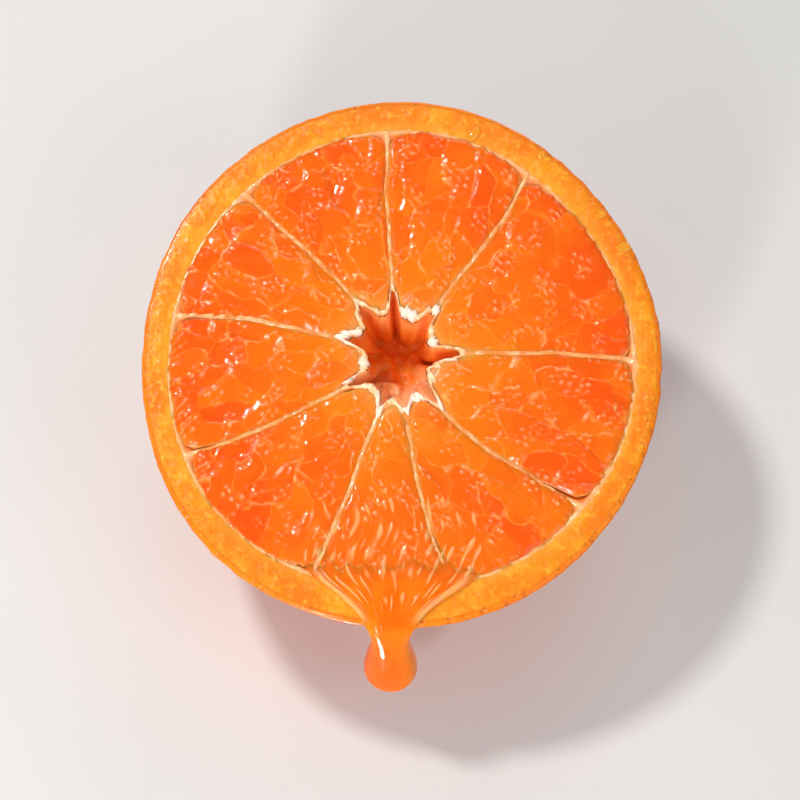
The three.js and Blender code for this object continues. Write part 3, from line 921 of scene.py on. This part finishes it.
# the juice: a flat ring carried along a path that comes out over the face, bends at the rim
# and hangs down, and a round ring from there on. Streaks run along the path, so they close
# up towards the neck; a ridge runs along each side; the inner end sinks into the flesh.
def addJuice(material):
    turn = np.linspace(0, 1, juice["around"], endpoint=False)[None, :]
    upperShare = juice["upperShare"]
    lower = 1 + (turn - upperShare) / juice["lowerShare"]
    turn = np.pi * np.where(turn < upperShare, turn / upperShare, lower)
    table = smoothStations(juice["stations"], juice["rows"])
    out, up, width, above, below = (table[:, k : k + 1] for k in range(5))
    stepOut, stepUp = np.gradient(out, axis=0), np.gradient(up, axis=0)
    length = np.hypot(stepOut, stepUp)
    onFace = smoothStep(-1.2, -4.5, out)
    side = np.cos(turn)
    rounding = lerp(1.0, 0.6, onFace)
    rise = np.sin(turn)
    lift = np.where(rise > 0, above, below) * np.sign(rise) * np.abs(rise) ** rounding

    upper = smoothStep(0, 0.3, rise)
    streaks = flowStreaks(out, side * width)[0]
    streaks = streaks * smoothStep(0.2, -3.0, out) * upper * np.sqrt(width / 9.6)
    ridge = np.exp(-(((np.abs(side) - 0.9) * width / 0.5) ** 2)) * upper
    ridge = ridge * smoothStep(-0.4, -1.4, out) * smoothStep(-6.8, -4.8, out)
    # the inner end goes under in long uneven fingers
    lane = np.stack([7 * side + 0 * out, out * 0.3 + 0 * side], axis=-1)
    fingers = 1 + 0.3 * ripple(lane, 1.6, 605)
    sink = smoothStep(-3.8, -9.8, out) * upper * fingers
    lift = lift + juice["streakHeight"] * streaks + juice["ridgeHeight"] * ridge
    lift = lift - juice["sinkDepth"] * sink

    ringOut = out - stepUp / length * lift
    ringUp = up + stepOut / length * lift
    rings = juicePoint(ringOut, width * side, ringUp)
    filmEnd, dropEnd = juice["filmEnd"], juice["dropEnd"]
    ends = [juicePoint(end[0], 0.0, end[1]) for end in (filmEnd, dropEnd)]
    points, faces = closedLoft(rings, *ends)
    # painted light: a share for one side of the hanging drop, which the material colours lighter
    paintedGlowSide = smoothStep(-0.6, -4.0, up) * smoothStep(0.1, 0.95, side)
    numbers = {
        "streak": np.append(streaks.ravel(), [0, 0]),
        "sideRidge": np.append(ridge.ravel(), [0, 0]),
        "hanging": np.append((smoothStep(-0.5, -5.0, up) + 0 * side).ravel(), [0, 1]),
        "inFlesh": np.append((smoothStep(-3.6, -7.2, out) + 0 * side).ravel(), [1, 0]),
        "paintedGlowSide": np.append(paintedGlowSide.ravel(), [0, 0.3]),
    }
    return addPiece("running_juice", points, faces, numbers, material)


# clear orange juice: as red as the flesh where it comes out of it, with a painted highlight: pale
# on its streaks and its side ridges
def juiceMaterial():
    s = Surface("mandarinJuice")
    colour = s.mix(s.ramp(s.noise(3.0, 2), 0.35, 0.65), (0.97, 0.17, 0.004), (1.0, 0.23, 0.006))
    colour = s.mix(s.number("hanging"), colour, (1.0, 0.135, 0.001))
    # painted light: the drop is coloured lighter and yellower towards one side, as if light shone
    # through it there
    colour = s.mix(s.number("paintedGlowSide"), colour, (1.0, 0.205, 0.001))
    colour = s.mix(s.times(s.number("inFlesh"), 0.85), colour, (0.98, 0.155, 0.012))
    # painted highlight: pale streaks along the flow and pale side ridges, where light would catch
    # the film
    colour = s.mix(s.ramp(s.number("streak"), 0.25, 1.2, 0, 0.75), colour, paleThreadAndStreakHighlight)
    colour = s.mix(s.times(s.number("sideRidge"), 0.7), colour, paleLiningAndRidgeHighlight)
    normal = s.bump(s.noise(0.7, 2), 0.012)
    return s.finish(
        colour,
        0.08,
        normal,
        Subsurface_Weight=1.0,
        Subsurface_Radius=(1.0, 0.3, 0.03),
        Subsurface_Scale=0.9 * mm,
        IOR=1.34,
        Specular_IOR_Level=0.06,
        Coat_Weight=0.3,
        Coat_Roughness=0.02,
        Coat_IOR=1.34,
    )


# the water drops on the rind
waterDrops = {
    # places on the cut face: across, up, half length, half width
    "rim": [
        (8.9, 27.6, 1.15, 0.6),
        (16.8, 24.9, 0.55, 0.5),
        (23.7, 17.3, 0.75, 0.45),
        (26.3, 13.2, 0.95, 0.7),
        (-15.3, 24.6, 0.55, 0.5),
        (3.1, 29.6, 0.35, 0.32),
        (-5.0, 29.0, 0.3, 0.28),
        (28.0, -7.5, 0.4, 0.35),
        (-26.6, -10.5, 0.35, 0.3),
        (-21.0, -19.6, 0.4, 0.3),
        (20.2, -21.2, 0.45, 0.35),
    ],
    "skinCount": 38,
    "seed": 7,
    "rings": 7,
    "around": 18,
    "topRise": 0.94,  # of the height, at the last ring
    "footSink": 0.12,
    "underJuice": 0.35,  # the angle either side of the juice that stays free of drops
}


# one drop: rings of a flattened cap from its foot to its top, longer one way, with the foot
# a little under the surface it sits on
def dropRings(length, width, height):
    turn = np.linspace(0, fullTurn, waterDrops["around"], endpoint=False)[None, :]
    rise = np.linspace(0, waterDrops["topRise"], waterDrops["rings"])[:, None]
    reach = np.sqrt(1 - rise**2) * (1 - 0.1 * (1 - rise) ** 4)
    lean = 0.16 * length * (1 - rise)
    along = length * reach * np.cos(turn) * (1 + 0.14 * np.cos(turn)) + lean
    up = height * (rise - waterDrops["footSink"]) + 0 * turn
    return np.stack([along, width * reach * np.sin(turn), up], -1)


# a drop's rings turned to stand on a surface: its length along one axis, its height along
# the normal; gives its top as well
def placeDrop(rings, height, centre, axisAlong, normal):
    axisSide = np.cross(normal, axisAlong)
    basis = np.stack([axisAlong, axisSide, normal])
    top = centre + normal * height * 0.88
    return rings @ basis + centre, top


# all drops of one kind as one mesh, each closed at its foot and its top
def addDrops(name, drops, material):
    allPoints, allFaces, start = [], [], 0
    for rings, top in drops:
        foot = rings[0].mean(axis=0)
        points, faces = closedLoft(rings, foot, top, start=start)
        allPoints.append(points)
        allFaces += faces
        start += len(points)
    return addPiece(name, np.concatenate(allPoints), allFaces, {}, material)


# drops on the cut band, each a little turned from the way to the middle
def addRimDrops(material):
    slant = fruit["cutSlant"]
    normal = np.array([0, -np.sin(slant), np.cos(slant)])
    drops = []
    for across, up, length, width in waterDrops["rim"]:
        y = up * np.cos(slant)
        centre = np.array([across, y, cutZ(y) + 0.1])
        heading = np.arctan2(up, across) - 0.35
        inFace = -np.sin(heading)
        along = np.array([-np.cos(heading), inFace * np.cos(slant), inFace * np.sin(slant)])
        height = 0.75 * min(length, width)
        rings = dropRings(length, width, height)
        drops.append(placeDrop(rings, height, centre, along, normal))
    return addDrops("rim_water", drops, material)


# drops scattered over the skin, longer downhill; the normal is the cross product of two
# short steps over the skin, and a drop that leaves the solids' box is drawn again
def addSkinDrops(material):
    rng = np.random.default_rng(waterDrops["seed"])
    drops = []
    lowest, highest = sourceBox[0] / mm + 0.02, sourceBox[1] / mm - 0.02
    while len(drops) < waterDrops["skinCount"]:
        angle = rng.uniform(0, fullTurn)
        latitude = rng.uniform(-0.95, cutLatitude(angle) - 0.06)
        size = 0.35 + 0.75 * rng.uniform() ** 2.2
        stretch = 1 + 0.6 * rng.uniform() ** 2
        spots = [(angle, latitude), (angle + 0.01, latitude), (angle, latitude + 0.01)]
        places = [polar(a, *skinPoint(a, b)) for a, b in spots]
        normal = np.cross(places[1] - places[0], places[2] - places[0])
        normal /= np.linalg.norm(normal)
        downhill = np.array([0, 0, -1.0]) + normal * normal[2]
        downhill /= np.linalg.norm(downhill)
        centre = places[0] - normal * 0.12
        height = 0.62 * size
        rings = dropRings(size * stretch, size, height)
        rings, top = placeDrop(rings, height, centre, downhill, normal)
        inside = (rings.min((0, 1)) > lowest).all() and (rings.max((0, 1)) < highest).all()
        fromJuice = abs(np.angle(np.exp(1j * (angle - juice["angle"]))))
        underJuice = fromJuice < waterDrops["underJuice"]
        if inside and (top < highest).all() and (top > lowest).all() and not underJuice:
            drops.append((rings, top))
    return addDrops("skin_water", drops, material)


# water: see-through by its alpha, with a full gloss; its warm yellow colour is painted light, the
# glow of light that the drop focuses onto the rind under it
def waterMaterial():
    s = Surface("clearWater")
    normal = s.bump(s.noise(1.2, 2), 0.01)
    # painted light: a warm yellow glow in place of the light focused through the drop
    colour = s.mix(s.noise(2, 1), (1.0, 0.44, 0.01), (1.0, 0.58, 0.05))
    gloss = {"IOR": 1.33, "Coat_Weight": 1.0, "Coat_Roughness": 0.02}
    return s.finish(colour, 0.03, normal, Alpha=0.36, **gloss)


wetFlesh = fleshMaterial()
segments = [addSegment(index, wetFlesh) for index in range(wallCount)]
print("segments made")
walls = addSepta(septaMaterial())
lip, hollow = addCore(lipMaterial(), hollowMaterial())
print("walls and core made")
cutBand = addCutBand(cutBandMaterial())
outerSkin = addSkin(skinMaterial())
print("rind made")
runningJuice = addJuice(juiceMaterial())
print("juice made")
water = waterMaterial()
addRimDrops(water)
addSkinDrops(water)
print("water drops made")

for piece in [*segments, walls, lip, hollow, cutBand, outerSkin]:
    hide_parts("mandarin_half")
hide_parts("juice_drop")


# the floor, the light and the camera, in metres
studio = {
    "floorHalf": 0.6,
    "floorLines": 41,
    "skyLight": 0.3,
    "target": (0.0, -0.0016, 0.0175),
    "elevation": np.radians(62),
    "distance": 0.262,
    "lens": 100,
}


# the floor: a wide level grid that sinks by the fourth power of the distance, just under
# the fruit, so that it is one soft sheet
def addFloor():
    count = studio["floorLines"]
    line = np.linspace(-1, 1, count) * studio["floorHalf"] / mm
    x, y = np.meshgrid(line, line)
    level = -0.02 - 2e-11 * (x**2 + y**2) ** 2
    s = Surface("paleFloor")
    tone = s.mix(s.noise(60, 3), (0.68, 0.675, 0.665), (0.72, 0.715, 0.705))
    material = s.finish(tone, 0.65, s.bump(s.noise(0.8, 3), 0.01))
    points = np.stack([x, y, level], axis=-1)
    addMesh("floor", points, [gridQuads(count, count)], {}, material)


# an area lamp, round or size by tall, aimed at the target unless its turn is given
def addLamp(name, place, size, watts, colour=(1, 1, 1), tall=None, turn=None):
    light = bpy.data.lights.new(name, "AREA")
    light.shape = "RECTANGLE" if tall else "DISK"
    light.size = size
    light.size_y = tall or size
    light.energy = watts
    light.color = colour
    lamp = bpy.data.objects.new(name, light)
    lamp.location = place
    lamp.rotation_euler = turn or aimAngles(np.subtract(studio["target"], place))
    lamp.visible_camera = False
    scene.collection.objects.link(lamp)
    return lamp


# the turns that point an object's -Z along a direction: tilt from straight down, then swing
def aimAngles(direction):
    x, y, z = direction
    return (np.arctan2(np.hypot(x, y), -z), 0, np.arctan2(-x, y) + 0.0)


addFloor()
addLamp("key", (-0.22, 0.16, 0.42), 0.07, 1.33, (1.0, 0.97, 0.93))
addLamp("fill", (0.35, -0.28, 0.3), 0.35, 0.6)
addLamp("back", (0.12, 0.45, 0.25), 0.3, 0.55)
addLamp("strip", (-0.12, -0.32, 0.13), 0.035, 0.9, tall=0.22)
# a small strip that lies on the floor facing up, for the long glint in the hanging drop: it
# is seen in reflections only and lights nothing
faceUp = (np.pi, 0, np.radians(236))
glint = addLamp("glint", (-0.0165, -0.0548, 0.0006), 0.027, 0.027, tall=0.005, turn=faceUp)
glint.visible_diffuse = glint.visible_transmission = False

world = bpy.data.worlds.new("studio")
world.use_nodes = True
sky = world.node_tree.nodes["Background"]
sky.inputs["Color"].default_value = (0.95, 0.97, 1.0, 1)
sky.inputs["Strength"].default_value = studio["skyLight"]
scene.world = world

cameraData = bpy.data.cameras.new("camera")
cameraData.lens = studio["lens"]
cameraData.clip_start = 0.01
camera = bpy.data.objects.new("camera", cameraData)
toCamera = np.array([0, -np.cos(studio["elevation"]), np.sin(studio["elevation"])])
camera.location = np.array(studio["target"]) + toCamera * studio["distance"]
camera.rotation_euler = aimAngles(-toCamera)
scene.collection.objects.link(camera)
scene.camera = camera
scene.view_settings.view_transform = "Standard"
print("floor, lights and camera set")
